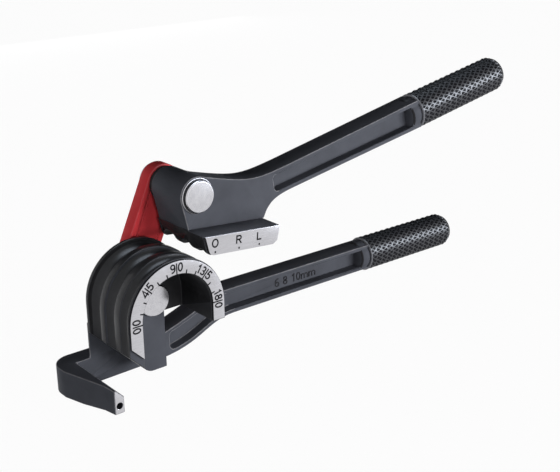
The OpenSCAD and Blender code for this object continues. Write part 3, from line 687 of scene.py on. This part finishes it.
faceSpec = {  # lengths in mm; the others are shares of a face's normal
    "hookEnd": -38.2, "chamfer": 1.4, "lean": (-0.95, -0.3), "hollow": 18.2, "wall": 0.3, "web": 20.5,
    "front": -0.9, "side": 0.5,
}
middle, normal = faceData("lower_handle")  # bare end of the hook
setFaces("lower_handle", (middle[:, 1] < faceSpec["hookEnd"] * mm) & (normal[:, 1] < faceSpec["front"]), 2)
for node, slot in (("lower_handle", 3), ("upper_handle", 2)):  # chamfer at each collar's shoulder takes the near-black finish, as painted shade
    spec = softSpecs[node][1]["pocket"]
    middle, normal = faceData(node)
    c, s = math.cos(spec["rise"]), math.sin(spec["rise"])
    along = c * (middle[:, 0] - spec["middle"][0] * mm) + s * (middle[:, 2] - spec["middle"][1] * mm)
    lean = c * normal[:, 0] + s * normal[:, 2]
    chosen = (along > spec["collar"] * mm) & (along < (spec["collar"] + faceSpec["chamfer"]) * mm)
    setFaces(node, chosen & (lean > faceSpec["lean"][0]) & (lean < faceSpec["lean"][1]), slot)
middle, normal = faceData("forming_die")  # the die's hollow takes the near-black finish, as painted shade
fromAxis = np.stack((middle[:, 0] - dialCentre[0], middle[:, 2] - dialCentre[2]), 1)
inward = (fromAxis * normal[:, [0, 2]]).sum(1) < 0
inHollow = np.hypot(*fromAxis.T) < faceSpec["hollow"] * mm
setFaces("forming_die", inward & inHollow & (np.abs(normal[:, 1]) < faceSpec["wall"]), 2)
front, depth = normal[:, 1] < faceSpec["front"], middle[:, 1] - dialCentre[1]
deep = depth > faceSpec["web"] * mm
setFaces("forming_die", front & deep, 2)  # so does the web at its back, as painted shade
setFaces("forming_die", front & ~deep, 3)  # the post and the rim's foot look like the casting
upward = faceData("bending_shoe")[1] @ shoeUp
setFaces("bending_shoe", upward < faceSpec["side"], 2)  # all but the ledge's top take the near-black finish, as painted shade
for node, slot in (("dial_face", 1), ("die_pin", 2), ("shoe_pin", 2)):  # dark sides: a dark joint line round the dial, painted shade on the pins' sides
    setFaces(node, np.abs(faceData(node)[1][:, 1]) < faceSpec["side"], slot)
print("picked faces done")

# floor, light and background
stageSpec = {
    "size": 3.0, "drop": 0.0003, "floor": (0.42, 0.42, 0.43), "rough": 0.9, "clear": 0.97, "world": 0.04,
    "flag": {"far": 1.0, "wide": 2.6, "high": 1.3, "over": 1.1, "away": (0.63, 0.78), "black": 0.004},
    "target": (0.08, -0.02, 0.05),
    "lamps": (  # place, width, height, power, colour, seen in gloss, lights matt surfaces
        ((0.38, -0.68, 0.108), 0.55, 0.215, 5.7, (1, 1, 1), False, True),
        ((-0.14, -0.80, 0.065), 0.30, 0.13, 1.22, (1, 1, 1), False, True),
        ((-0.90, -0.15, 0.135), 0.50, 0.27, 2.0, (1, 1, 1), False, True),
        ((0.66, -0.55, 0.23), 0.44, 0.32, 6.4, (0.84, 0.90, 1), True, False),
        ((0.15, 0.00, 0.80), 0.50, 0.50, 6.0, (0.78, 0.88, 1), True, False),
        ((0.10, 0.85, 0.065), 1.20, 0.13, 3.66, (1, 1, 1), False, True),
    ),
}
backRays = ("Is Camera Ray", "Is Glossy Ray", "Is Transmission Ray")  # what shows the white background


# 1 for rays of the named kinds, 0 for the others
def raysOf(tree, *kinds):
    ray = tree.nodes.new("ShaderNodeLightPath")
    found = ray.outputs[kinds[0]]
    for kind in kinds[1:]:
        found = maths(tree, "MAXIMUM", found, ray.outputs[kind])
    return found


def stagePiece(name, points, faces, colour, rough):
    mesh = bpy.data.meshes.new(name)
    mesh.from_pydata(points, [], faces)
    piece = bpy.data.objects.new(name, mesh)
    scene.collection.objects.link(piece)
    mat, tree, shader = newFinish(name + "_finish")
    shader.inputs["Base Color"].default_value = (*colour, 1)
    shader.inputs["Roughness"].default_value = rough
    shader.inputs["Specular IOR Level"].default_value = 0.0
    mesh.materials.append(mat)
    return piece, tree, shader


# pale floor: mostly clear, so that the white behind it shows, with a trace of the shadow;
# an arm that swings below it stays in sight and lit
def makeFloor(spec):
    h, z = spec["size"], -spec["drop"]
    corners = [(-h, -h, z), (h, -h, z), (h, h, z), (-h, h, z)]
    tree, shader = stagePiece("floor", corners, [(0, 1, 2, 3)], spec["floor"], spec["rough"])[1:]
    share = maths(tree, "MULTIPLY", raysOf(tree, *backRays, "Is Shadow Ray"), spec["clear"])
    clear = tree.nodes.new("ShaderNodeBsdfTransparent")
    mix = tree.nodes.new("ShaderNodeMixShader")
    tree.links.new(share, mix.inputs["Fac"])
    tree.links.new(shader.outputs[0], mix.inputs[1])
    tree.links.new(clear.outputs[0], mix.inputs[2])
    tree.links.new(mix.outputs[0], tree.nodes["Material Output"].inputs["Surface"])


def makeWorld(spec):
    world = bpy.data.worlds.new("studio")
    world.use_nodes = True
    scene.world = world
    tree = world.node_tree
    back = tree.nodes["Background"]
    back.inputs["Color"].default_value = (1, 1, 1, 1)
    level = remap(tree, raysOf(tree, *backRays), spec["world"], 1.0, 0.0, 1.0)
    tree.links.new(level, back.inputs["Strength"])


# dark cloth behind and above the object, which only gloss shows: a line (up, then forwards) carried sideways
def makeFlag(spec):
    x, y = spec["away"]
    away, side = Vector((x, y, 0)), Vector((y, -x, 0)) * spec["wide"] / 2
    up = Vector((0, 0, spec["high"]))
    line = [away * spec["far"], away * spec["far"] + up, away * (spec["far"] - spec["over"]) + up]
    points = [p - side for p in line] + [p + side for p in line]
    flag = stagePiece("flag", points, [(0, 3, 4, 1), (1, 4, 5, 2)], (spec["black"],) * 3, 1.0)[0]
    flag.visible_camera = flag.visible_diffuse = flag.visible_shadow = flag.visible_transmission = False


def makeLamps(spec):
    target = Vector(spec["target"])
    for i, (place, wide, tall, power, colour, inGloss, onMatt) in enumerate(spec["lamps"]):
        data = bpy.data.lights.new("lamp%d" % i, "AREA")
        data.shape, data.size, data.size_y = "RECTANGLE", wide, tall
        data.energy, data.color = power, colour
        lamp = bpy.data.objects.new("lamp%d" % i, data)
        lamp.location = place
        lamp.rotation_euler = (target - Vector(place)).to_track_quat("-Z", "Y").to_euler()
        lamp.visible_glossy, lamp.visible_diffuse = inGloss, onMatt
        scene.collection.objects.link(lamp)


makeFloor(stageSpec)
makeWorld(stageSpec)
makeFlag(stageSpec["flag"])
makeLamps(stageSpec)
scene.view_settings.view_transform = "Standard"
print("stage done")
